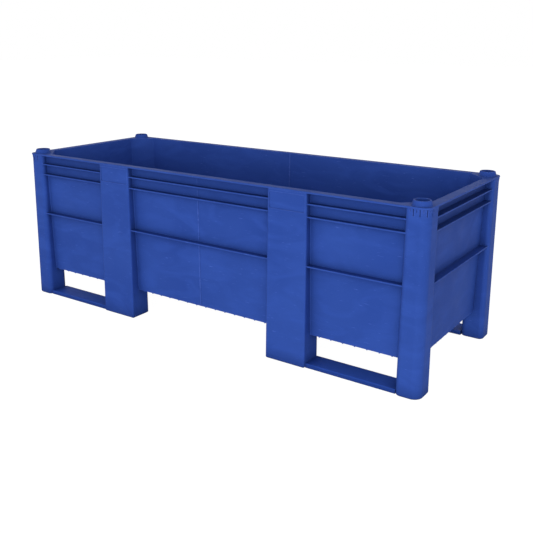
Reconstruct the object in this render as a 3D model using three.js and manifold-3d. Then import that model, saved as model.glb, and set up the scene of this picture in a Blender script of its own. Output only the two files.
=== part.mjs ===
// A long pallet box of moulded polyethylene. Two identical half shells are butt-welded in the
// middle of the long sides, and four flat runners close the fork openings below the end bays.
// Millimetres, +Z up, +X along the length. The origin is on the floor under the box's centre.
import * as THREE from "three";
import { mergeVertices } from "three/addons/utils/BufferGeometryUtils.js";
import Module from "manifold-3d";

const wasm = await Module();
wasm.setup();

// Overall sizes, over the rim
const LENGTH = 2120;
const WIDTH = 800;
const RIM_TOP = 728;

// Rim: a flat flange round the mouth
const RIM_THICKNESS = 7;
const RIM_OVERHANG = 1.5;
const RIM_CORNER_RADIUS = 30;
const RIM_UNDERSIDE = RIM_TOP - RIM_THICKNESS;

// Tub walls: recessed behind the posts, and leaning inwards towards the floor
const WALL = 6;
const SIDE_RECESS = 28.5;
const END_RECESS = 32.5;
const WALL_LEAN = 12;
const INNER_CHAMFER = 92;
const CHAMFER_ROUNDING = 18;

// Floor plate with a lattice of ribs below it
const SKIRT_BOTTOM = 132;
const END_SKIRT_DROP = 5;
const FLOOR_UNDERSIDE = 160;
const FLOOR_THICKNESS = 8;
const LATTICE_RIB = 4;
const LATTICE_PROUD = 3;
const CROSS_RIB_PITCH = 53;
const LONG_RIB_PITCH = 150;

// Posts: hollow columns, open below, that stand on the floor as legs. They grow wider downwards,
// and the foot is upright up to a little above the runner. Side and depth are those at the rim.
const POST_SIDE = 92.5;
const LEG_DEPTH = 98.5;
const FOOT_SPREAD = 4;
const FOOT_MARGIN = 6;
const POST_SKIN = 6;
const POST_CORNER_RADIUS = 36;
const POST_EDGE_RADIUS = 20;
const MID_POST_WIDTH = 182;
const MID_POST_EDGE_RADIUS = 7;
const BAY_LENGTH = 402;

// Horizontal ribs on the wall panels, by how far their top faces lie below the rim's
const RIB_DROPS = [47, 98, 297];
const RIB_THICKNESS = 6;
const RIB_SETBACK = 4.5;

// Collar: the flare under the rim round each corner post, with narrow upright slots in it
const COLLAR_BAND = 5;
const COLLAR_TAPER = 12;
const SLOT_COUNT = 4;
const SLOT_START = 34;
const SLOT_PITCH = 25;
const SLOT_WIDTH = 4;
const SLOT_DEPTH = 3.5;
const SLOT_HEIGHT = 27;

// Lugs: dished cones on the rim corners, which enter the hollow feet of a box stacked on top
const LUG_HEIGHT = 19;
const STACKING_CLEARANCE = 5.5;
const LUG_TAPER = 6.5;
const LUG_WALL = 6;
const DISH_DEPTH = 14;
const LUG_STEPS = 24;

// Runners: flat bars between the legs
const RUNNER_HEIGHT = 19;
const RUNNER_SETBACK = 9.5;
const RUNNER_EDGE_RADIUS = 4;

const ROUND_STEPS = 2;
const SUNK = 2;

// Places that follow from the sizes above
const POST_X = LENGTH / 2 - RIM_OVERHANG;
const POST_Y = WIDTH / 2 - RIM_OVERHANG;
const TUB_X = POST_X - END_RECESS;
const TUB_Y = POST_Y - SIDE_RECESS;
const CORNER_POST_X = POST_X - POST_SIDE;
const LEG_INNER_Y = POST_Y - LEG_DEPTH;
const MID_POST_FAR = CORNER_POST_X - BAY_LENGTH;
const MID_POST_NEAR = MID_POST_FAR - MID_POST_WIDTH;
const FLOOR_TOP = FLOOR_UNDERSIDE + FLOOR_THICKNESS;
const FLOOR_MIDDLE = FLOOR_UNDERSIDE + FLOOR_THICKNESS / 2;
const FOOT_HEIGHT = RUNNER_HEIGHT + FOOT_MARGIN;
const FOOT_ROOM = POST_SIDE + 2 * (FOOT_SPREAD - POST_SKIN);
const LUG_BASE_RADIUS = FOOT_ROOM / 2 - STACKING_CLEARANCE;
const RUNNER_DEPTH = LEG_DEPTH + 2 * FOOT_SPREAD - RUNNER_SETBACK;
const SIDES = [-1, 1];

// A closed three.js geometry as a solid that can be joined and cut.
function solid(geometry) {
  const bare = geometry.index ? geometry.toNonIndexed() : geometry.clone();
  bare.deleteAttribute("normal");
  bare.deleteAttribute("uv");
  const merged = mergeVertices(bare, 1e-4);
  return new wasm.Manifold(
    new wasm.Mesh({
      numProp: 3,
      vertProperties: merged.attributes.position.array,
      triVerts: new Uint32Array(merged.index.array),
    }),
  );
}

// The geometry of a solid, for a mesh.
function geometryOf(body) {
  const mesh = body.getMesh();
  const geometry = new THREE.BufferGeometry();
  geometry.setAttribute("position", new THREE.BufferAttribute(mesh.vertProperties, 3));
  geometry.setIndex(new THREE.BufferAttribute(mesh.triVerts, 1));
  geometry.computeVertexNormals();
  return geometry;
}

function join(bodies) {
  return bodies.reduce((whole, body) => whole.add(body));
}

function block([x0, x1], [y0, y1], [z0, z1]) {
  const geometry = new THREE.BoxGeometry(x1 - x0, y1 - y0, z1 - z0);
  geometry.translate((x0 + x1) / 2, (y0 + y1) / 2, (z0 + z1) / 2);
  return solid(geometry);
}

// An outline through corner points [x, y, radius], with each corner rounded by an arc.
function outline(corners) {
  const shape = new THREE.Shape();
  corners.forEach(([x, y, radius], i) => {
    const corner = new THREE.Vector2(x, y);
    const [px, py] = corners.at(i - 1);
    const [nx, ny] = corners[(i + 1) % corners.length];
    const back = new THREE.Vector2(px, py).sub(corner).normalize();
    const ahead = new THREE.Vector2(nx, ny).sub(corner).normalize();
    const half = Math.acos(back.dot(ahead)) / 2;
    const middle = back.clone().add(ahead).setLength(radius / Math.sin(half)).add(corner);
    const reach = radius / Math.tan(half);
    const start = back.multiplyScalar(reach).add(corner);
    const end = ahead.multiplyScalar(reach).add(corner);
    const clockwise = start.clone().sub(middle).cross(end.clone().sub(middle)) < 0;
    const startAngle = Math.atan2(start.y - middle.y, start.x - middle.x);
    const endAngle = Math.atan2(end.y - middle.y, end.x - middle.x);
    shape.absarc(middle.x, middle.y, radius, startAngle, endAngle, clockwise);
  });
  shape.closePath();
  return shape;
}

function plateGeometry(shape, [z0, z1]) {
  const geometry = new THREE.ExtrudeGeometry(shape, {
    depth: z1 - z0,
    bevelEnabled: false,
    curveSegments: ROUND_STEPS,
  });
  geometry.translate(0, 0, z0);
  return geometry;
}

function plate(shape, heights) {
  return solid(plateGeometry(shape, heights));
}

// The plan of the outer walls, a plain rectangle, at the height of the rim.
function wallOutline(inset) {
  const x = TUB_X - inset;
  const y = TUB_Y - inset;
  return new THREE.Shape([
    new THREE.Vector2(x, y),
    new THREE.Vector2(-x, y),
    new THREE.Vector2(-x, -y),
    new THREE.Vector2(x, -y),
  ]);
}

// The tub's plan inside, a rectangle with chamfered corners, at the height of the rim.
function tubOutline(inset) {
  const x = TUB_X - inset;
  const y = TUB_Y - inset;
  const cut = INNER_CHAMFER - inset * (2 - Math.SQRT2);
  const radius = CHAMFER_ROUNDING - inset;
  return outline([
    [x, y - cut, radius],
    [x - cut, y, radius],
    [cut - x, y, radius],
    [-x, y - cut, radius],
    [-x, cut - y, radius],
    [cut - x, -y, radius],
    [x - cut, -y, radius],
    [x, cut - y, radius],
  ]);
}

// How far the walls have leant inwards at a height.
function lean(z) {
  return (WALL_LEAN * (RIM_TOP - z)) / (RIM_TOP - SKIRT_BOTTOM);
}

// A block of a given plan whose sides lean as the walls do, between two heights.
function leaningPrism(shape, heights) {
  const geometry = plateGeometry(shape, heights);
  const place = geometry.attributes.position;
  for (let i = 0; i < place.count; i += 1) {
    const shift = lean(place.getZ(i));
    place.setX(i, place.getX(i) - Math.sign(place.getX(i)) * shift);
    place.setY(i, place.getY(i) - Math.sign(place.getY(i)) * shift);
  }
  return solid(geometry);
}

// Tub: walls, floor plate and the skirt below the floor, which reaches lower at the ends
function makeTub() {
  const skirtRoom = leaningPrism(wallOutline(WALL), [SKIRT_BOTTOM - SUNK, FLOOR_UNDERSIDE]);
  const end = TUB_X - WALL_LEAN;
  const reach = LEG_INNER_Y + POST_SKIN / 2;
  const drop = [SKIRT_BOTTOM - END_SKIRT_DROP, SKIRT_BOTTOM + SUNK];
  const inside = block([WALL - end, end - WALL], [-WIDTH, WIDTH], [0, RIM_TOP]);
  const endSkirts = block([-end, end], [-reach, reach], drop).subtract(inside);
  return leaningPrism(wallOutline(0), [SKIRT_BOTTOM, RIM_TOP]).subtract(skirtRoom).add(endSkirts);
}

// Lattice: ribs across and along the underside, whose ends show below the skirt
function makeLattice() {
  const heights = [SKIRT_BOTTOM - LATTICE_PROUD, FLOOR_MIDDLE];
  const half = LATTICE_RIB / 2;
  const bars = [];
  for (let x = CROSS_RIB_PITCH / 2; x < TUB_X - WALL_LEAN - WALL; x += CROSS_RIB_PITCH) {
    for (const side of SIDES) {
      bars.push(block([side * x - half, side * x + half], [-TUB_Y, TUB_Y], heights));
    }
  }
  for (let y = LONG_RIB_PITCH / 2; y < TUB_Y - WALL_LEAN - WALL; y += LONG_RIB_PITCH) {
    for (const side of SIDES) {
      bars.push(block([-TUB_X, TUB_X], [side * y - half, side * y + half], heights));
    }
  }
  return join(bars).intersect(leaningPrism(wallOutline(0), heights));
}

// Rim: a flat flange as wide as the whole box
function makeRim() {
  const radius = RIM_CORNER_RADIUS;
  const x = LENGTH / 2;
  const y = WIDTH / 2;
  const shape = outline([
    [x, -y, radius],
    [x, y, radius],
    [-x, y, radius],
    [-x, -y, radius],
  ]);
  return plate(shape, [RIM_UNDERSIDE, RIM_TOP]);
}

// A corner post's plan, or its hollow's, at the corner with the given signs of x and y, where
// the post has grown wider by some length on each side.
function cornerPostOutline([sx, sy], inset, grown) {
  const edge = POST_EDGE_RADIUS - inset;
  const out = grown - inset;
  return outline([
    [sx * (POST_X + out), sy * (POST_Y + out), POST_CORNER_RADIUS - inset],
    [sx * (POST_X + out), sy * (LEG_INNER_Y - out), edge],
    [sx * (CORNER_POST_X - out), sy * (LEG_INNER_Y - out), edge],
    [sx * (CORNER_POST_X - out), sy * (POST_Y + out), edge],
  ]);
}

function midPostOutline([sx, sy], inset, grown) {
  const edge = MID_POST_EDGE_RADIUS - inset;
  const out = grown - inset;
  return outline([
    [sx * (MID_POST_NEAR - out), sy * (POST_Y + out), edge],
    [sx * (MID_POST_FAR + out), sy * (POST_Y + out), edge],
    [sx * (MID_POST_FAR + out), sy * (LEG_INNER_Y - out), edge],
    [sx * (MID_POST_NEAR - out), sy * (LEG_INNER_Y - out), edge],
  ]);
}

// How far a post has grown on each side at a height.
function growth(z) {
  const drop = RIM_UNDERSIDE - Math.max(z, FOOT_HEIGHT);
  return (FOOT_SPREAD * drop) / (RIM_UNDERSIDE - FOOT_HEIGHT);
}

// A stretch of a post, or of the hollow in it, between two heights.
function postStretch(outlineOf, corner, inset, [z0, z1]) {
  const body = plateGeometry(outlineOf(corner, inset, growth(z0)), [z0, z1]);
  const upper = plateGeometry(outlineOf(corner, inset, growth(z1)), [z0, z1]);
  const place = body.attributes.position;
  const above = upper.attributes.position;
  for (let i = 0; i < place.count; i += 1) {
    if (place.getZ(i) > (z0 + z1) / 2) {
      place.setX(i, above.getX(i));
      place.setY(i, above.getY(i));
    }
  }
  return solid(body);
}

// Posts, or the hollows in them, at all eight places
function makePosts(inset, [low, high]) {
  const posts = [];
  for (const sx of SIDES) {
    for (const sy of SIDES) {
      for (const outlineOf of [cornerPostOutline, midPostOutline]) {
        posts.push(postStretch(outlineOf, [sx, sy], inset, [low, FOOT_HEIGHT]));
        posts.push(postStretch(outlineOf, [sx, sy], inset, [FOOT_HEIGHT, high]));
      }
    }
  }
  return join(posts);
}

// Ribs: level fins that run from post to post in every bay
function makeRibs() {
  const x = POST_X - RIB_SETBACK;
  const y = POST_Y - RIB_SETBACK;
  const into = POST_EDGE_RADIUS;
  const fins = [];
  for (const drop of RIB_DROPS) {
    const top = RIM_TOP - drop;
    const heights = [top - RIB_THICKNESS, top];
    const nearMid = MID_POST_NEAR + POST_SKIN;
    fins.push(block([-nearMid, nearMid], [-y, y], heights));
    for (const side of SIDES) {
      const bay = [side * (MID_POST_FAR - POST_SKIN), side * (CORNER_POST_X + into)];
      fins.push(block(bay.sort((a, b) => a - b), [-y, y], heights));
    }
    fins.push(block([-x, x], [-LEG_INNER_Y - into, LEG_INNER_Y + into], heights));
  }
  return join(fins);
}

// Collar: the post's outline flared out to the edge of the rim
function makeCollars() {
  const collars = [];
  for (const sx of SIDES) {
    for (const sy of SIDES) {
      const geometry = new THREE.ExtrudeGeometry(cornerPostOutline([sx, sy], 0, 0), {
        depth: RIM_THICKNESS + COLLAR_BAND,
        bevelEnabled: true,
        bevelSize: RIM_OVERHANG,
        bevelThickness: COLLAR_TAPER,
        bevelSegments: 1,
        curveSegments: ROUND_STEPS,
      });
      geometry.translate(0, 0, RIM_UNDERSIDE - COLLAR_BAND);
      collars.push(solid(geometry));
    }
  }
  const below = block([-LENGTH, LENGTH], [-WIDTH, WIDTH], [0, RIM_UNDERSIDE + SUNK]);
  return join(collars).intersect(below);
}

// The point and the outward direction at a distance round a corner post's face, measured
// from its edge on the long side, for the corner with positive x and y.
function roundPost(distance) {
  const flat = POST_SIDE - POST_CORNER_RADIUS;
  const turn = (distance - flat) / POST_CORNER_RADIUS;
  const angle = Math.PI / 2 - THREE.MathUtils.clamp(turn, 0, Math.PI / 2);
  const beyond = Math.max(0, distance - flat - (POST_CORNER_RADIUS * Math.PI) / 2);
  const x = POST_X - POST_CORNER_RADIUS + Math.min(0, distance - flat);
  const y = POST_Y - POST_CORNER_RADIUS - beyond;
  return {
    x: x + POST_CORNER_RADIUS * Math.cos(angle),
    y: y + POST_CORNER_RADIUS * Math.sin(angle),
    angle,
  };
}

// Slots: narrow upright grooves below the rim, spaced evenly round the post
function makeSlots() {
  const slots = [];
  for (let i = 0; i < SLOT_COUNT; i += 1) {
    const { x, y, angle } = roundPost(SLOT_START + i * SLOT_PITCH);
    for (const sx of SIDES) {
      for (const sy of SIDES) {
        const reach = SLOT_DEPTH + RIM_OVERHANG * 2;
        const geometry = new THREE.BoxGeometry(reach, SLOT_WIDTH, SLOT_HEIGHT);
        geometry.translate(reach / 2 - SLOT_DEPTH, 0, RIM_UNDERSIDE - SLOT_HEIGHT / 2);
        geometry.rotateZ(Math.atan2(sy * Math.sin(angle), sx * Math.cos(angle)));
        geometry.translate(sx * x, sy * y, 0);
        slots.push(solid(geometry));
      }
    }
  }
  return join(slots);
}

// Lugs: turned cones with a dished top
function makeLugs() {
  const top = RIM_TOP + LUG_HEIGHT;
  const topRadius = LUG_BASE_RADIUS - LUG_TAPER;
  const dishRadius = topRadius - LUG_WALL;
  const profile = [
    new THREE.Vector2(0, RIM_TOP - SUNK),
    new THREE.Vector2(LUG_BASE_RADIUS, RIM_TOP - SUNK),
    new THREE.Vector2(LUG_BASE_RADIUS, RIM_TOP),
    new THREE.Vector2(topRadius, top),
    new THREE.Vector2(dishRadius, top),
    new THREE.Vector2(dishRadius - LUG_WALL / 2, top - DISH_DEPTH),
    new THREE.Vector2(0, top - DISH_DEPTH),
  ];
  const lugs = [];
  for (const sx of SIDES) {
    for (const sy of SIDES) {
      const geometry = new THREE.LatheGeometry(profile, LUG_STEPS);
      geometry.rotateX(Math.PI / 2);
      geometry.translate(sx * (POST_X - POST_SIDE / 2), sy * (POST_Y - POST_SIDE / 2), 0);
      lugs.push(solid(geometry));
    }
  }
  return join(lugs);
}

// Hollow of the posts. Behind a corner post it reaches to the chamfered wall of the tub.
function makePostRoom() {
  const columns = makePosts(POST_SKIN, [-SUNK, RIM_UNDERSIDE]);
  const tub = leaningPrism(tubOutline(0), [FLOOR_UNDERSIDE, RIM_TOP]);
  const corners = leaningPrism(wallOutline(WALL), [SKIRT_BOTTOM - SUNK, RIM_UNDERSIDE]);
  const chamfered = leaningPrism(tubOutline(0), [SKIRT_BOTTOM - SUNK * 2, RIM_TOP]);
  return columns.subtract(tub).add(corners.subtract(chamfered));
}

// Whole shell of both halves, before it is parted at the weld
function makeShell() {
  const room = leaningPrism(tubOutline(WALL), [FLOOR_TOP, RIM_TOP + SUNK]);
  const keepOut = leaningPrism(tubOutline(WALL / 2), [FLOOR_MIDDLE, RIM_TOP + SUNK]);
  const outside = [
    makePosts(0, [0, RIM_UNDERSIDE + SUNK]),
    makeRibs(),
    makeCollars(),
    makeRim(),
    makeLugs(),
  ];
  const fittings = join(outside).subtract(keepOut);
  return makeTub()
    .add(makeLattice())
    .add(fittings)
    .subtract(makePostRoom())
    .subtract(room)
    .subtract(makeSlots());
}

function makeHalfShell() {
  const half = block([0, LENGTH], [-WIDTH, WIDTH], [-SUNK, RIM_TOP + 2 * LUG_HEIGHT]);
  return geometryOf(makeShell().intersect(half));
}

// Runner: a flat bar between two feet, with its long edges rounded, centred on its own length
function makeRunner() {
  const half = RUNNER_DEPTH / 2;
  const section = outline([
    [-half, 0, RUNNER_EDGE_RADIUS],
    [half, 0, RUNNER_EDGE_RADIUS],
    [half, RUNNER_HEIGHT, RUNNER_EDGE_RADIUS],
    [-half, RUNNER_HEIGHT, RUNNER_EDGE_RADIUS],
  ]);
  const end = BAY_LENGTH / 2 - FOOT_SPREAD;
  const geometry = plateGeometry(section, [-end, end]);
  const along = new THREE.Matrix4().makeBasis(
    new THREE.Vector3(0, 1, 0),
    new THREE.Vector3(0, 0, 1),
    new THREE.Vector3(1, 0, 0),
  );
  geometry.applyMatrix4(along);
  return geometryOf(solid(geometry));
}

// Moulded polyethylene, deep blue with a dull sheen
function blueMaterial() {
  return new THREE.MeshStandardMaterial({
    color: 0x2f4f9f,
    roughness: 0.45,
    metalness: 0,
  });
}

function addMesh(group, name, geometry) {
  const mesh = new THREE.Mesh(geometry, blueMaterial());
  mesh.name = name;
  group.add(mesh);
  return mesh;
}

const box = new THREE.Group();

const halfShell = makeHalfShell();
addMesh(box, "right_half_shell", halfShell);
addMesh(box, "left_half_shell", halfShell).rotation.z = Math.PI;

const runner = makeRunner();
const runnerX = MID_POST_FAR + BAY_LENGTH / 2;
const runnerY = LEG_INNER_Y - FOOT_SPREAD + RUNNER_DEPTH / 2;
for (const [end, sx] of [["left", -1], ["right", 1]]) {
  for (const [side, sy] of [["front", -1], ["back", 1]]) {
    const bar = addMesh(box, `${side}_${end}_runner`, runner);
    bar.position.set(sx * runnerX, sy * runnerY, 0);
  }
}

export default box;
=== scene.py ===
# %% [markdown]
# # A long pallet box in blue polyethylene
# The real box is two identical injection mouldings, butt-welded in the middle of the long sides,
# and four flat runners welded in between its legs. This lesson models one moulding the way its
# mould would shape it, copies it for the other half, models the runners, and then gives them all
# the dull, slightly scuffed surface of moulded polyethylene. Lengths are in metres.

# %% Load the frame
import math
import bpy
import mathutils
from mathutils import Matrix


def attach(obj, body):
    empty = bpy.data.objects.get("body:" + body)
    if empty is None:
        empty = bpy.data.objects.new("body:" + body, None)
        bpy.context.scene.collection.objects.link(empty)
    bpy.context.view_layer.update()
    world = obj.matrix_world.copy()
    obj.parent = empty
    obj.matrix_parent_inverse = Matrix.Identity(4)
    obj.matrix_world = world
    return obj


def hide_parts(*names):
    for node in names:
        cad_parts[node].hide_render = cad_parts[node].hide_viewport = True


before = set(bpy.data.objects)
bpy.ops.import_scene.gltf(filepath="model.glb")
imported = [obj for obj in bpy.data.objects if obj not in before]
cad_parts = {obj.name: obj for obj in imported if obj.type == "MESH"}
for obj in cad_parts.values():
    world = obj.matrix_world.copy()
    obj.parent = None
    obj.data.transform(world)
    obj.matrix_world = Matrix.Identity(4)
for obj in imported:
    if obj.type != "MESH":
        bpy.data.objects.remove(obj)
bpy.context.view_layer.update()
print("frame nodes:", sorted(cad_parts))

# %% [markdown]
# ## Camera
# The photograph looks at the box from the front right, down over the rim. The focal length, place
# and turn were solved from the straight edges of the box. The camera's axis meets the picture
# above its middle, as if the picture had been cropped, and a lens shift gives that. The first
# three sizes are in pixels of the photograph.

# %% Camera
PICTURE_WIDTH, FOCAL_LENGTH, AXIS_ROW = 533, 740.5, 218.8
SENSOR_WIDTH = 36
bpy.ops.object.camera_add(
    location=(1.9947, -2.7640, 1.3056),
    rotation=(1.32774, -0.00541, 0.60058),
)
camera = bpy.context.object
camera.data.sensor_width = SENSOR_WIDTH
camera.data.lens = FOCAL_LENGTH / PICTURE_WIDTH * SENSOR_WIDTH
camera.data.shift_y = (AXIS_ROW - PICTURE_WIDTH / 2) / PICTURE_WIDTH
bpy.context.scene.camera = camera
print("lens", round(camera.data.lens, 2), "mm, shift", round(camera.data.shift_y, 4))

# %% [markdown]
# ## Floor, world and lamp
# The photograph has a pure white ground. The floor is pale, and what the camera sees of it is
# mostly its own white, so that a light shadow is left under the box. The world is brightest near
# the horizon and dimmer overhead, which leaves the inside dark, and one large soft lamp from the
# front right makes the planes differ, as in a studio.

# %% Floor
GLOW_SHARE = 0.86
bpy.ops.object.select_all(action="DESELECT")
bpy.ops.mesh.primitive_plane_add(size=60, location=(0, 0, -0.0005))
floor = bpy.context.object
floor.name = "studio_floor"
pale = bpy.data.materials.new("studio_white")
pale.use_nodes = True
nodes, links = pale.node_tree.nodes, pale.node_tree.links
ground = nodes["Principled BSDF"]
ground.inputs["Base Color"].default_value = (0.9, 0.9, 0.9, 1)
ground.inputs["Roughness"].default_value = 1.0
glow = nodes.new("ShaderNodeEmission")
glow.inputs["Strength"].default_value = 1.15
path = nodes.new("ShaderNodeLightPath")
share = nodes.new("ShaderNodeMath")
share.operation = "MULTIPLY"
share.inputs[1].default_value = GLOW_SHARE
blend = nodes.new("ShaderNodeMixShader")
links.new(path.outputs["Is Camera Ray"], share.inputs[0])
links.new(share.outputs[0], blend.inputs["Fac"])
links.new(ground.outputs[0], blend.inputs[1])
links.new(glow.outputs[0], blend.inputs[2])
links.new(blend.outputs[0], nodes["Material Output"].inputs["Surface"])
floor.data.materials.append(pale)
print("floor", floor.name)

# %% World and lamp
world = bpy.data.worlds.new("studio_world")
bpy.context.scene.world = world
world.use_nodes = True
nodes, links = world.node_tree.nodes, world.node_tree.links
light_sky = nodes["Background"]
light_sky.inputs["Color"].default_value = (1, 1, 1, 1)
way = nodes.new("ShaderNodeTexCoord")
parts = nodes.new("ShaderNodeSeparateXYZ")
dimmer = nodes.new("ShaderNodeMapRange")
dimmer.inputs["From Min"].default_value = 0.05
dimmer.inputs["From Max"].default_value = 0.75
dimmer.inputs["To Min"].default_value = 0.95
dimmer.inputs["To Max"].default_value = 0.42
links.new(way.outputs["Generated"], parts.inputs[0])
links.new(parts.outputs["Z"], dimmer.inputs["Value"])
links.new(dimmer.outputs["Result"], light_sky.inputs["Strength"])
seen_sky = nodes.new("ShaderNodeBackground")
seen_sky.inputs["Color"].default_value = (1, 1, 1, 1)
path = nodes.new("ShaderNodeLightPath")
blend = nodes.new("ShaderNodeMixShader")
links.new(path.outputs["Is Camera Ray"], blend.inputs["Fac"])
links.new(light_sky.outputs[0], blend.inputs[1])
links.new(seen_sky.outputs[0], blend.inputs[2])
links.new(blend.outputs[0], nodes["World Output"].inputs["Surface"])
bpy.context.scene.view_settings.view_transform = "Standard"


def soft_lamp(name, place, aim, size, power):
    """A square area lamp that looks from its place at a point."""
    bpy.ops.object.light_add(type="AREA", location=place)
    lamp = bpy.context.object
    lamp.name = name
    lamp.data.size = size
    lamp.data.energy = power
    away = mathutils.Vector(aim) - lamp.location
    lamp.rotation_euler = away.to_track_quat("-Z", "Y").to_euler()


soft_lamp("key", place=(3.3, -7.2, 1.2), aim=(0.1, 0.0, 0.35), size=3.0, power=265)

# %% [markdown]
# ## Sizes and small tools
# The sizes are those of the frame. The half moulding is built from OVER, a little past the weld,
# and trimmed at the weld later. Cutters reach CLEAR past what they cut, or go by FAR, which is more
# than the box is high or wide, and bodies that are joined lap into each other by LAP. A few helpers
# keep the cells short: one adds a block between given corners, one selects faces or edges by where
# they are, one rounds the selected edges, and one joins or cuts two bodies, which keeps the
# moulding a single closed skin. The last ones are tests that say which faces or edges are meant.

# %% Sizes
HALF_LENGTH, HALF_WIDTH = 1.060, 0.400
RIM_BOTTOM, RIM_TOP, BOX_TOP = 0.721, 0.728, 0.747
INSIDE_RIM = (RIM_TOP + RIM_BOTTOM) / 2
WALL_X, WALL_Y = 1.026, 0.370
LEAN = 0.012
SKIN = 0.006
SKIRT, UNDERSIDE, FLOOR = 0.132, 0.160, 0.168
POST_X, POST_Y, LEG_Y = 1.0585, 0.3985, 0.300
CORNER_POST = 0.966
MID_POST = (0.382, 0.564)
CORNER_ROUNDINGS = (0.036, 0.020)
MID_ROUNDINGS = (0.007, 0.007)
SPREAD = 0.004
OVER = -0.05
CLEAR, LAP, FAR = 0.01, 0.002, 1
TOLERANCE, SHORT, LONG = 0.0004, 0.004, 0.2
SHARP_DEGREES = 38
X, Y, Z = 0, 1, 2
print("half moulding", HALF_LENGTH, "x", 2 * HALF_WIDTH, "x", BOX_TOP, "m")


# %% Helpers for modelling
def block(name, x, y, z):
    """A cube primitive that fills the room between two corners."""
    bpy.ops.object.select_all(action="DESELECT")
    middle = [(a + b) / 2 for a, b in (x, y, z)]
    size = [abs(b - a) for a, b in (x, y, z)]
    bpy.ops.mesh.primitive_cube_add(size=1, location=middle, scale=size)
    piece = bpy.context.object
    piece.name = name
    bpy.ops.object.transform_apply(location=True, rotation=True, scale=True)
    return piece


def pick(piece, kind, wanted):
    """Enters edit mode with the faces or edges selected whose corners pass a test."""
    bpy.ops.object.select_all(action="DESELECT")
    piece.select_set(True)
    bpy.context.view_layer.objects.active = piece
    bpy.ops.object.mode_set(mode="EDIT")
    bpy.ops.mesh.select_mode(type=kind)
    bpy.ops.mesh.select_all(action="DESELECT")
    bpy.ops.object.mode_set(mode="OBJECT")
    mesh = piece.data
    found = 0
    for item in mesh.edges if kind == "EDGE" else mesh.polygons:
        item.select = wanted([mesh.vertices[i].co for i in item.vertices])
        found += item.select
    bpy.ops.object.mode_set(mode="EDIT")
    return found


def round_off(piece, wanted, radius, steps):
    """Bevels the edges that pass a test, and says how many they were."""
    found = pick(piece, "EDGE", wanted)
    if found:
        bpy.ops.mesh.bevel(offset=radius, segments=steps, affect="EDGES", clamp_overlap=True)
    bpy.ops.object.mode_set(mode="OBJECT")
    return found


def combine(piece, tool, operation):
    """Joins the tool to the piece or cuts it out of it, and removes the tool."""
    bpy.ops.object.select_all(action="DESELECT")
    piece.select_set(True)
    bpy.context.view_layer.objects.active = piece
    step = piece.modifiers.new("combine", "BOOLEAN")
    step.object = tool
    step.operation = operation
    step.solver = "MANIFOLD"
    bpy.ops.object.modifier_apply(modifier=step.name)
    bpy.data.objects.remove(tool)


def even_shading(piece):
    """Smooths the roundings and lets the large flat faces keep their own direction."""
    bpy.ops.object.shade_smooth_by_angle(angle=math.radians(SHARP_DEGREES))
    step = piece.modifiers.new("even_shading", "WEIGHTED_NORMAL")
    step.mode = "FACE_AREA"
    step.weight = 80
    step.keep_sharp = True
    bpy.ops.object.modifier_apply(modifier=step.name)


def mirrored(side, a, b):
    """The span between two distances from the middle, on one side of it."""
    return sorted((side * a, side * b))


# %% Tests for faces and edges
def near(a, b):
    """Whether two lengths are the same but for rounding errors."""
    return abs(a - b) < TOLERANCE


def spans(ends, axis, least):
    """Whether an edge covers more than a given length along an axis."""
    return abs(ends[0][axis] - ends[1][axis]) > least


def level(z):
    """A test for edges or faces that lie at one height."""
    return lambda corners: all(near(c.z, z) for c in corners)


def level_and_kept(z):
    """A test for edges at one height, but not for those past the weld, which are trimmed."""
    return lambda ends: level(z)(ends) and not all(near(e.x, OVER) for e in ends)


def upright(x, y):
    """A test for edges that stand at one place of the plan."""
    return lambda ends: spans(ends, Z, SHORT) and all(
        near(e.x, x) and near(e.y, y) for e in ends
    )


def along_face(across, place, along):
    """A test for the long edges of a fin's outer face."""
    return lambda ends: spans(ends, along, SHORT) and all(near(e[across], place) for e in ends)


print("helpers ready")

# %% [markdown]
# ## Walls
# The walls are set back behind the posts, and lean inwards towards the floor so that the moulding
# leaves its mould. A block is made as high as the wall and its faces drawn in. The room under the
# floor is cut out of it in the same way. The skirt reaches a little lower at the end.

# %% Walls
def inward(z):
    """How far the walls have leant in at a height."""
    return LEAN * (RIM_TOP - z) / (RIM_TOP - SKIRT)


def draw_in(piece, x, y, heights):
    """Draws in the level faces of a form as far as the walls have leant in there."""
    for z in heights:
        pick(piece, "FACE", level(z))
        shrink = ((x - OVER - inward(z)) / (x - OVER), (y - inward(z)) / y, 1)
        bpy.ops.transform.resize(value=shrink, center_override=(OVER, 0, z))
        bpy.ops.object.mode_set(mode="OBJECT")


def leaning_block(name, inset, low, high):
    """A block as wide as the walls, less an inset, whose sides lean as they do."""
    x, y = WALL_X - inset, WALL_Y - inset
    piece = block(name, (OVER, x), (-y, y), (low, high))
    draw_in(piece, x, y, (low, high))
    return piece


shell = leaning_block("right_shell_moulding", 0, SKIRT, INSIDE_RIM)
combine(shell, leaning_block("under_floor", SKIN, SKIRT - CLEAR, UNDERSIDE), "DIFFERENCE")
END_SKIRT, END_X, END_Y = 0.127, 1.014, LEG_Y + 0.003
end_skirt = block("end_skirt", (END_X - SKIN, END_X), (-END_Y, END_Y), (END_SKIRT, SKIRT + LAP))
combine(shell, end_skirt, "UNION")
print("walls", len(shell.data.polygons), "faces")

# %% [markdown]
# ## Posts
# Corner posts and wide mid-posts stand proud of the walls and go down to the floor as legs. A
# corner post has a large rounding outside and softer ones at its other edges. A mid-post is nearly
# square. All grow a few millimetres wider downwards, by a resized lower face, and have a slightly
# rounded foot. After the posts are joined to the walls, the inner corners between them get the
# fillet that a mould has.

# %% Posts
FOOT_ROUNDING = 0.007


def steps_for(radius):
    """The number of flats in a post's rounding, more for a larger one."""
    if radius > 0.02:
        return 12
    return 8 if radius > 0.01 else 4


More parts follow.
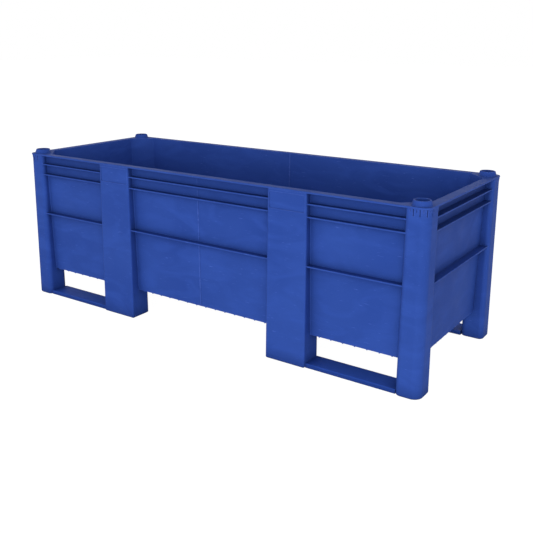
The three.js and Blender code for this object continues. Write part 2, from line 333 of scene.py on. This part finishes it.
def post(name, x, y, z, inset, roundings):
    """A post, or the hollow in it, with a rounding at the outer corner and at the rest."""
    (x0, x1), (y0, y1) = x, y
    piece = block(name, (x0 + inset, x1 - inset), (y0 + inset, y1 - inset), z)
    outer, rest = roundings[0] - inset, roundings[1] - inset
    outer_y = y1 - inset if y1 > 0 else y0 + inset
    round_off(piece, upright(x1 - inset, outer_y), outer, steps_for(outer))
    for place_x in (x0 + inset, x1 - inset):
        for place_y in (y0 + inset, y1 - inset):
            round_off(piece, upright(place_x, place_y), rest, steps_for(rest))
    pick(piece, "FACE", level(z[0]))
    widths = (x1 - x0 - 2 * inset, y1 - y0 - 2 * inset)
    grown = 2 * SPREAD * (RIM_BOTTOM - z[0]) / RIM_BOTTOM
    wider = (1 + grown / widths[0], 1 + grown / widths[1], 1)
    middle = ((x0 + x1) / 2, (y0 + y1) / 2, z[0])
    bpy.ops.transform.resize(value=wider, center_override=middle)
    bpy.ops.object.mode_set(mode="OBJECT")
    return piece


def all_posts(inset, low, high):
    """The four posts of one half, or their hollows."""
    made = []
    for side in (-1, 1):
        for name, x, roundings in (
            ("corner", (CORNER_POST, POST_X), CORNER_ROUNDINGS),
            ("mid", MID_POST, MID_ROUNDINGS),
        ):
            y = mirrored(side, LEG_Y, POST_Y)
            made.append(post(name, x, y, (low, high), inset, roundings))
    return made


for leg in all_posts(0, 0, INSIDE_RIM):
    round_off(leg, level(0), FOOT_ROUNDING, steps=4)
    combine(shell, leg, "UNION")
print("walls and posts", len(shell.data.polygons), "faces")

# %% Fillets between posts and walls
END_FILLET, MID_FILLET = 0.008, 0.004
DRAFT_ROOM = SPREAD + 0.0002
LEAN_ROOM, OUTER_ROOM = LEAN + 0.001, 0.0005


def on_wall(distance, wall):
    """Whether a distance from the middle is that of a leaning wall, at any height."""
    return wall - LEAN_ROOM < distance < wall + OUTER_ROOM


def inner_corner(x, side):
    """A test for the leaning edge between a long wall and the side of a post."""
    return lambda ends: spans(ends, Z, LONG) and all(
        abs(e.x - x) < DRAFT_ROOM and on_wall(side * e.y, WALL_Y) for e in ends
    )


def end_corner(side):
    """A test for the leaning edge between the end wall and a corner post."""
    return lambda ends: spans(ends, Z, LONG) and all(
        abs(side * e.y - LEG_Y) < DRAFT_ROOM and on_wall(e.x, WALL_X) for e in ends
    )


count = 0
for side in (-1, 1):
    count += round_off(shell, inner_corner(CORNER_POST, side), END_FILLET, steps=5)
    for x in MID_POST:
        count += round_off(shell, inner_corner(x, side), MID_FILLET, steps=4)
    count += round_off(shell, end_corner(side), END_FILLET, steps=5)
print("fillets at", count, "edges")

# %% [markdown]
# ## Ribs and the lattice under the floor
# Three level fins run from post to post in every bay, two close under the rim and one at mid
# height. Under the floor, upright bars cross at an even pitch, and their ends show as small steps
# below the skirt. One bar is modelled and repeated with an Array modifier. The lower skirt at the
# end gets a row of bar ends of its own.

# %% Ribs
RIB_TOPS = (0.681, 0.630, 0.431)
RIB_THICKNESS, RIB_ROOT, RIB_ROUNDING = 0.006, 0.010, 0.0018
RIB_Y, RIB_X = 0.394, 1.054
INTO_MID, INTO_CORNER = 0.005, 0.014
bays = (
    (OVER, MID_POST[0] + INTO_MID),
    (MID_POST[1] - INTO_MID, CORNER_POST + INTO_CORNER),
)
end_bay = (-LEG_Y - INTO_CORNER, LEG_Y + INTO_CORNER)
for top in RIB_TOPS:
    heights = (top - RIB_THICKNESS, top)
    for side in (-1, 1):
        for bay in bays:
            fin = block("rib", bay, mirrored(side, WALL_Y - RIB_ROOT, RIB_Y), heights)
            round_off(fin, along_face(Y, side * RIB_Y, X), RIB_ROUNDING, steps=3)
            combine(shell, fin, "UNION")
    fin = block("rib", (WALL_X - RIB_ROOT, RIB_X), end_bay, heights)
    round_off(fin, along_face(X, RIB_X, Y), RIB_ROUNDING, steps=3)
    combine(shell, fin, "UNION")
print("with ribs", len(shell.data.polygons), "faces")

# %% Lattice
PITCH, HALF_BAR = 0.053, 0.002
BARS_ACROSS, BARS_ALONG, BAR_ENDS = 19, 14, 10
BAR_STEP, INTO_FLOOR, INTO_SKIRT = 0.003, 0.004, 0.001
BAR_FOOT, BAR_TOP = SKIRT - BAR_STEP, UNDERSIDE + INTO_FLOOR


def bars(name, x, y, step, count):
    """A row of bars, made by repeating one."""
    bar = block(name, x, y, (BAR_FOOT, BAR_TOP))
    row = bar.modifiers.new("row", "ARRAY")
    row.use_relative_offset = False
    row.use_constant_offset = True
    row.constant_offset_displace = step
    row.count = count
    bpy.ops.object.modifier_apply(modifier=row.name)
    return bar


def across_bar(middle):
    """The span that a bar's thickness covers."""
    return (middle - HALF_BAR, middle + HALF_BAR)


reach_x, reach_y = WALL_X - inward(BAR_FOOT), WALL_Y - inward(BAR_FOOT)
across = bars("bars", across_bar(PITCH / 2), (-reach_y, reach_y), (PITCH, 0, 0), BARS_ACROSS)
first = -PITCH * ((BARS_ALONG - 1) / 2)
along = bars("bars", (OVER, reach_x), across_bar(first), (0, PITCH, 0), BARS_ALONG)
combine(across, along, "UNION")
combine(shell, across, "UNION")
first = -PITCH * ((BAR_ENDS - 1) / 2)
teeth = bars("teeth", (END_X - SKIN, END_X), across_bar(first), (0, PITCH, 0), BAR_ENDS)
above = block("above", (0, 2 * FAR), (-FAR, FAR), (SKIRT - LAP, FAR))
combine(teeth, above, "DIFFERENCE")
bpy.ops.object.select_all(action="DESELECT")
teeth.select_set(True)
bpy.ops.transform.translate(value=(0, 0, END_SKIRT - SKIRT + INTO_SKIRT))
bpy.ops.object.transform_apply(location=True, rotation=True, scale=True)
combine(shell, teeth, "UNION")
print("with lattice", len(shell.data.polygons), "faces")

# %% [markdown]
# ## Rim, collars and lugs
# The rim is a flat flange with rounded edges. Under it each corner post flares out in a collar to
# meet the rim's edge. On each corner sits a dished lug, a low cone that enters the hollow foot of
# the box stacked on top. The cone's top is inset and pushed down to make the dish.

# %% Rim
RIM_CORNER, RIM_UPPER_EDGE, RIM_LOWER_EDGE = 0.030, 0.0022, 0.0015
rim = block("rim", (OVER, HALF_LENGTH), (-HALF_WIDTH, HALF_WIDTH), (RIM_BOTTOM, RIM_TOP))
for side in (-1, 1):
    round_off(rim, upright(HALF_LENGTH, side * HALF_WIDTH), RIM_CORNER, steps=14)
for z, radius in ((RIM_TOP, RIM_UPPER_EDGE), (RIM_BOTTOM, RIM_LOWER_EDGE)):
    round_off(rim, level_and_kept(z), radius, steps=3)
combine(shell, rim, "UNION")
print("with rim", len(shell.data.polygons), "faces")

# %% Collars
COLLAR_FOOT, COLLAR_TOP, FLARE = 0.704, 0.716, 0.003
wider = [(w + FLARE) / w for w in (POST_X - CORNER_POST, POST_Y - LEG_Y)] + [1]
for side in (-1, 1):
    y = mirrored(side, LEG_Y, POST_Y)
    heights = (COLLAR_FOOT, COLLAR_TOP)
    collar = post("collar", (CORNER_POST, POST_X), y, heights, 0, CORNER_ROUNDINGS)
    pick(collar, "FACE", level(COLLAR_TOP))
    middle = ((CORNER_POST + POST_X) / 2, side * (LEG_Y + POST_Y) / 2, COLLAR_TOP)
    bpy.ops.transform.resize(value=wider, center_override=middle)
    into_rim = {"value": (0, 0, INSIDE_RIM - COLLAR_TOP)}
    bpy.ops.mesh.extrude_region_move(TRANSFORM_OT_translate=into_rim)
    bpy.ops.object.mode_set(mode="OBJECT")
    combine(shell, collar, "UNION")
print("with collars", len(shell.data.polygons), "faces")

# %% Lugs
LUG_X, LUG_Y = 1.01225, 0.35225
LUG_FOOT_RADIUS, LUG_TOP_RADIUS, LUG_ROUNDING = 0.0385, 0.032, 0.0016
DISH_EDGE, DISH_DEPTH, DISH_NARROWING, DISH_FILLET = 0.006, 0.014, 0.88, 0.003
for side in (-1, 1):
    bpy.ops.object.select_all(action="DESELECT")
    bpy.ops.mesh.primitive_cone_add(
        vertices=64,
        radius1=LUG_FOOT_RADIUS,
        radius2=LUG_TOP_RADIUS,
        depth=BOX_TOP - RIM_TOP,
        location=(LUG_X, side * LUG_Y, (BOX_TOP + RIM_TOP) / 2),
    )
    lug = bpy.context.object
    bpy.ops.object.transform_apply(location=True, rotation=True, scale=True)
    pick(lug, "FACE", level(RIM_TOP))
    bpy.ops.mesh.extrude_region_move(TRANSFORM_OT_translate={"value": (0, 0, -LAP)})
    bpy.ops.object.mode_set(mode="OBJECT")
    pick(lug, "FACE", level(BOX_TOP))
    bpy.ops.mesh.inset(thickness=DISH_EDGE)
    bpy.ops.mesh.extrude_region_move(TRANSFORM_OT_translate={"value": (0, 0, -DISH_DEPTH)})
    bpy.ops.transform.resize(
        value=(DISH_NARROWING, DISH_NARROWING, 1), center_override=(LUG_X, side * LUG_Y, 0)
    )
    bpy.ops.object.mode_set(mode="OBJECT")
    round_off(lug, level(BOX_TOP), LUG_ROUNDING, steps=3)
    round_off(lug, level(BOX_TOP - DISH_DEPTH), DISH_FILLET, steps=3)
    combine(shell, lug, "UNION")
print("with lugs", len(shell.data.polygons), "faces")

# %% [markdown]
# ## The tub's room and the hollows of the posts
# The room for the goods has chamfered upright corners with a soft rounding, and a fillet at the
# floor. It is cut out last, so that nothing of the ribs or posts stays inside. The posts are hollow
# columns, open below. Behind a corner post the hollow reaches to the tub's chamfered wall.

# %% The tub's inner form
CHAMFER, CHAMFER_ROUNDING = 0.092, 0.018


def tub_form(name, inset, low, high, fillet=0):
    """The leaning form of the tub with its upright corners cut off and rounded."""
    x, y = WALL_X - inset, WALL_Y - inset
    cut = CHAMFER - inset * (2 - math.sqrt(2))
    radius = (CHAMFER_ROUNDING - inset) * math.tan(math.pi / 8)
    piece = block(name, (OVER, x), (-y, y), (low, high))
    for side in (-1, 1):
        round_off(piece, upright(x, side * y), cut, steps=1)
    for side in (-1, 1):
        round_off(piece, upright(x, side * (y - cut)), radius, steps=8)
        round_off(piece, upright(x - cut, side * y), radius, steps=8)
    draw_in(piece, x, y, (low, high))
    if fillet:
        round_off(piece, level_and_kept(low), fillet, steps=4)
    return piece


POST_LID = 0.004
HOLLOW_TOP = RIM_BOTTOM - POST_LID
for hollow in all_posts(SKIN, -CLEAR, HOLLOW_TOP):
    combine(hollow, tub_form("tub", 0, UNDERSIDE, RIM_TOP + CLEAR), "DIFFERENCE")
    combine(shell, hollow, "DIFFERENCE")
wedge = leaning_block("wedge", SKIN, SKIRT - CLEAR, HOLLOW_TOP)
combine(wedge, tub_form("tub", 0, SKIRT - 2 * CLEAR, RIM_TOP + CLEAR), "DIFFERENCE")
combine(shell, wedge, "DIFFERENCE")
print("hollow posts", len(shell.data.polygons), "faces")

# %% Room for the goods
ROOM_FILLET, MOUTH_ROUNDING, MOUTH_INSET, HEADROOM = 0.012, 0.002, 0.003, 0.05
room = tub_form("room", SKIN, FLOOR, RIM_TOP + HEADROOM, ROOM_FILLET)
combine(shell, room, "DIFFERENCE")


def mouth(ends):
    """Whether an edge lies round the mouth of the room."""
    return level(RIM_TOP)(ends) and all(
        abs(e.y) < WALL_Y - MOUTH_INSET and e.x < WALL_X - MOUTH_INSET for e in ends
    )


print("mouth edges rounded:", round_off(shell, mouth, MOUTH_ROUNDING, steps=3))

# %% [markdown]
# ## Slots under the rim
# Straight under the rim each corner post has narrow upright grooves, evenly spaced round its outer
# face, with shorter and finer ones in between. A groove cutter is set against the post's face at
# each place along its outline, turned square to it, and cut out. The kinds of groove are listed by
# their first place along the outline, their width and height, and their number. Each mid-post has
# a very shallow rectangle sunk in its face at the same height.

# %% Slots
GROOVE_PITCH, GROOVE_DEPTH, CUTTER_PROUD = 0.025, 0.0035, 0.012
GROOVE_KINDS = ((0.034, 0.004, 0.027, 4), (0.0215, 0.0022, 0.013, 5))


def around(distance):
    """The point on a corner post's outline and the way it faces, for positive x and y."""
    radius = CORNER_ROUNDINGS[0]
    flat = POST_X - CORNER_POST - radius
    turn = min(max((distance - flat) / radius, 0), math.pi / 2)
    angle = math.pi / 2 - turn
    beyond = max(0, distance - flat - radius * math.pi / 2)
    x = POST_X - radius + min(0, distance - flat) + radius * math.cos(angle)
    return x, POST_Y - radius - beyond + radius * math.sin(angle), angle


def groove(distance, side, width, height):
    """The cutter of a groove at a distance along a corner post's outline."""
    x, y, angle = around(distance)
    out = (CUTTER_PROUD - GROOVE_DEPTH) / 2
    place_x = x + out * math.cos(angle)
    place_y = side * (y + out * math.sin(angle))
    bpy.ops.object.select_all(action="DESELECT")
    bpy.ops.mesh.primitive_cube_add(
        size=1,
        scale=(CUTTER_PROUD + GROOVE_DEPTH, width, height),
        rotation=(0, 0, side * angle),
        location=(place_x, place_y, RIM_BOTTOM - height / 2),
    )
    bpy.ops.object.transform_apply(location=True, rotation=True, scale=True)
    return bpy.context.object


for side in (-1, 1):
    for first, width, height, count in GROOVE_KINDS:
        for i in range(count):
            cutter = groove(first + GROOVE_PITCH * i, side, width, height)
            combine(shell, cutter, "DIFFERENCE")

# %% Rectangles on the mid-posts
PANEL_MARGIN, PANEL_DEPTH, PANEL_ROUNDING = 0.0085, 0.0018, 0.006
PANEL_HEIGHTS = (0.643, 0.711)
panel_x = (MID_POST[0] + PANEL_MARGIN, MID_POST[1] - PANEL_MARGIN)
for side in (-1, 1):
    panel_y = mirrored(side, POST_Y - PANEL_DEPTH, POST_Y + CLEAR)
    panel = block("panel", panel_x, panel_y, PANEL_HEIGHTS)
    round_off(panel, lambda ends: spans(ends, Y, SHORT), PANEL_ROUNDING, steps=4)
    combine(shell, panel, "DIFFERENCE")
print("with slots and panels", len(shell.data.polygons), "faces")

# %% [markdown]
# ## Weld
# The halves are welded with a hot plate, which leaves a low bead all round the joint. Half of it
# belongs to each moulding. The half moulding is then trimmed at the weld, smoothed, and the other
# half is the same mesh turned half round.

# %% Weld bead
HALF_BEAD, PROUD = 0.003, 0.001
inside = SKIN + PROUD
above_floor = leaning_block("bead_room", inside, FLOOR + PROUD, RIM_TOP + CLEAR)
below_floor = leaning_block("bead_room", inside, SKIRT - CLEAR, UNDERSIDE - PROUD)
beyond_bead = block("beyond", (HALF_BEAD, 2 * FAR), (-FAR, FAR), (0, FAR))
bead = leaning_block("bead", -PROUD, SKIRT, RIM_BOTTOM + LAP)
for cutter in (above_floor, below_floor, beyond_bead):
    combine(bead, cutter, "DIFFERENCE")
combine(shell, bead, "UNION")
other_half = block("other_half", (-FAR, 0), (-FAR, FAR), (-CLEAR, FAR))
combine(shell, other_half, "DIFFERENCE")
print("trimmed half", len(shell.data.polygons), "faces")

# %% Smooth the half and copy it
bpy.ops.object.select_all(action="DESELECT")
shell.select_set(True)
bpy.context.view_layer.objects.active = shell
bpy.ops.object.mode_set(mode="EDIT")
bpy.ops.mesh.select_all(action="SELECT")
bpy.ops.mesh.remove_doubles(threshold=0.00002)
bpy.ops.mesh.normals_make_consistent(inside=False)
bpy.ops.object.mode_set(mode="OBJECT")
even_shading(shell)
bpy.ops.object.duplicate()
other = bpy.context.object
other.name = "left_shell_moulding"
bpy.ops.transform.rotate(value=math.pi, orient_axis="Z", center_override=(0, 0, 0))
bpy.ops.object.transform_apply(location=True, rotation=True, scale=True)
for piece, node in ((shell, "right_half_shell"), (other, "left_half_shell")):
    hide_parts(node)
    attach(piece, "root")
print("two mouldings of", len(shell.data.vertices), "vertices")

# %% [markdown]
# ## Runners
# A runner is a flat bar that closes a fork opening at the floor. Its long edges are rounded, and
# its ends butt against the legs. All four are the same, at mirrored places.

# %% Runners
RUNNER_HEIGHT, RUNNER_OUT, RUNNER_ROUNDING = 0.019, 0.393, 0.004
runners = []
for end, sx in (("left", -1), ("right", 1)):
    for name, sy in (("front", -1), ("back", 1)):
        x = mirrored(sx, MID_POST[1] + SPREAD, CORNER_POST - SPREAD)
        y = mirrored(sy, LEG_Y - SPREAD, RUNNER_OUT)
        bar = block(f"{name}_{end}_runner_bar", x, y, (0, RUNNER_HEIGHT))
        round_off(bar, lambda ends: spans(ends, X, LONG), RUNNER_ROUNDING, steps=4)
        even_shading(bar)
        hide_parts(f"{name}_{end}_runner")
        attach(bar, "root")
        runners.append(bar)
print("runners", [r.name for r in runners])

# %% [markdown]
# ## Moulded polyethylene
# The plastic is one deep blue, dull, and never quite even. A slow noise shifts the blue a little,
# a stretched one leaves the faint flow marks of moulding, and thin scratches are a little paler and
# duller. A Bevel node finds the edges: where the softened normal turns away from the true one, the
# edges are duller with wear, and paler partly from wear and partly as a painted highlight. The
# upward faces of the runners are painted paler, as painted light from above. An occlusion node
# paints shade into the blue in recesses. A fine bump gives the slightly pebbled sheen, and a slow
# one makes the walls a little uneven.

# %% Material
def shade(colour, factor, lift=0):
    """A colour made stronger or weaker, and lifted towards white."""
    return tuple(min(1, c * factor + lift) for c in colour[:3]) + (1,)


def polyethylene(name, deep, light, seed, painted_top_light):
    """A dull moulded plastic: flow marks, scratches, edges pale with wear and painted highlight,
    painted shade in recesses, painted light on tops.
    """
    made = bpy.data.materials.new(name)
    made.use_nodes = True
    nodes, links = made.node_tree.nodes, made.node_tree.links
    skin = nodes["Principled BSDF"]
    skin.inputs["Specular IOR Level"].default_value = 0.09
    skin.inputs["Specular Tint"].default_value = (0.35, 0.6, 1.0, 1)

    def noise(scale, detail, stretch=(1, 1, 1), turn=(0, 0, 0), swirl=0.0):
        """A noise over the object, stretched, turned and swirled."""
        place = nodes.new("ShaderNodeTexCoord")
        fit = nodes.new("ShaderNodeMapping")
        fit.inputs["Location"].default_value = (seed, seed * 0.7, seed * 1.3)
        fit.inputs["Rotation"].default_value = turn
        fit.inputs["Scale"].default_value = stretch
        made_noise = nodes.new("ShaderNodeTexNoise")
        made_noise.inputs["Scale"].default_value = scale
        made_noise.inputs["Detail"].default_value = detail
        made_noise.inputs["Distortion"].default_value = swirl
        links.new(place.outputs["Object"], fit.inputs["Vector"])
        links.new(fit.outputs["Vector"], made_noise.inputs["Vector"])
        return made_noise.outputs["Fac"]

    def fitted(value, low, high, to_low=0, to_high=1):
        """A value fitted from one range to another."""
        fit = nodes.new("ShaderNodeMapRange")
        fit.inputs["From Min"].default_value = low
        fit.inputs["From Max"].default_value = high
        fit.inputs["To Min"].default_value = to_low
        fit.inputs["To Max"].default_value = to_high
        links.new(value, fit.inputs["Value"])
        return fit.outputs["Result"]

    def joined(a, b, operation="ADD"):
        """The sum of two values, or their product."""
        both = nodes.new("ShaderNodeMath")
        both.operation = operation
        links.new(a, both.inputs[0])
        links.new(b, both.inputs[1])
        return both.outputs[0]

    def mix(share, a, b):
        """A mix of two colours, each a fixed one or a node's."""
        both = nodes.new("ShaderNodeMix")
        both.data_type = "RGBA"
        links.new(share, both.inputs["Factor"])
        for value, socket in ((a, both.inputs["A"]), (b, both.inputs["B"])):
            if isinstance(value, tuple):
                socket.default_value = value
            else:
                links.new(value, socket)
        return both.outputs["Result"]

    def bump(height, strength, distance):
        """A bump node that follows a height."""
        made_bump = nodes.new("ShaderNodeBump")
        made_bump.inputs["Strength"].default_value = strength
        made_bump.inputs["Distance"].default_value = distance
        links.new(height, made_bump.inputs["Height"])
        return made_bump

    flow_noise = noise(4, 6, stretch=(1.0, 1.0, 2.6), turn=(0.3, 0.55, 0), swirl=1.6)
    scratch_noise = noise(26, 6, stretch=(1.2, 9, 9), turn=(0.0, 0.5, 0.3))
    cloudy = fitted(noise(2.6, 3), 0.35, 0.65)
    flow = fitted(flow_noise, 0.44, 0.68, to_high=0.5)
    scratches = fitted(scratch_noise, 0.66, 0.74, to_high=0.5)

    soft = nodes.new("ShaderNodeBevel")
    soft.samples = 6
    soft.inputs["Radius"].default_value = 0.0035
    true = nodes.new("ShaderNodeNewGeometry")
    turned = nodes.new("ShaderNodeVectorMath")
    turned.operation = "DOT_PRODUCT"
    links.new(soft.outputs["Normal"], turned.inputs[0])
    links.new(true.outputs["Normal"], turned.inputs[1])
    # Edges: paler partly from wear and partly as a painted highlight that stands in for light on
    # the rim's top edges.
    edge = fitted(turned.outputs["Value"], 0.995, 0.88, to_high=0.75)
    edge_wear_and_highlight = joined(edge, fitted(noise(38, 4), 0.38, 0.62, to_low=0.4), "MULTIPLY")

    pale_wear_and_highlight = shade(light, 1.7, lift=0.045)
    blue = mix(cloudy, deep, light)
    blue = mix(flow, blue, shade(light, 1.22))
    blue = mix(scratches, blue, pale_wear_and_highlight)
    blue = mix(edge_wear_and_highlight, blue, pale_wear_and_highlight)
    # Painted light: faces that look upward are made paler, as if lit from above.
    if painted_top_light:
        facing = nodes.new("ShaderNodeSeparateXYZ")
        links.new(true.outputs["Normal"], facing.inputs[0])
        painted_top_mask = fitted(facing.outputs["Z"], 0.6, 1, to_high=painted_top_light)
        blue = mix(painted_top_mask, blue, shade(light, 1.8))
    # Painted shade: an occlusion node darkens the blue in recesses and creases.
    painted_shade_occlusion = nodes.new("ShaderNodeAmbientOcclusion")
    painted_shade_occlusion.samples = 8
    painted_shade_occlusion.inputs["Distance"].default_value = 0.075
    blue = mix(fitted(painted_shade_occlusion.outputs["AO"], 0.35, 0.95), shade(deep, 0.55), blue)
    links.new(blue, skin.inputs["Base Color"])

    even_rough = fitted(noise(9, 5), 0.3, 0.7, to_low=0.48, to_high=0.60)
    worn_rough = fitted(joined(edge_wear_and_highlight, scratches), 0, 1, to_high=0.12)
    links.new(joined(even_rough, worn_rough), skin.inputs["Roughness"])

    sag = bump(noise(4.5, 2), strength=0.35, distance=0.004)
    pebble = bump(joined(noise(420, 2), scratches), strength=0.25, distance=0.0006)
    links.new(sag.outputs["Normal"], pebble.inputs["Normal"])
    links.new(pebble.outputs["Normal"], skin.inputs["Normal"])
    return made


shell_blue = polyethylene(
    "shell_polyethylene",
    deep=(0.0268, 0.0715, 0.350, 1),
    light=(0.0325, 0.083, 0.380, 1),
    seed=0.0,
    painted_top_light=0,
)
# The runners get painted light on their upward faces.
runner_blue = polyethylene(
    "runner_polyethylene",
    deep=(0.022, 0.066, 0.350, 1),
    light=(0.028, 0.079, 0.385, 1),
    seed=4.2,
    painted_top_light=0.65,
)
for pieces, plastic in (((shell, other), shell_blue), (runners, runner_blue)):
    for piece in pieces:
        piece.data.materials.clear()
        piece.data.materials.append(plastic)
print("materials", shell_blue.name, runner_blue.name)
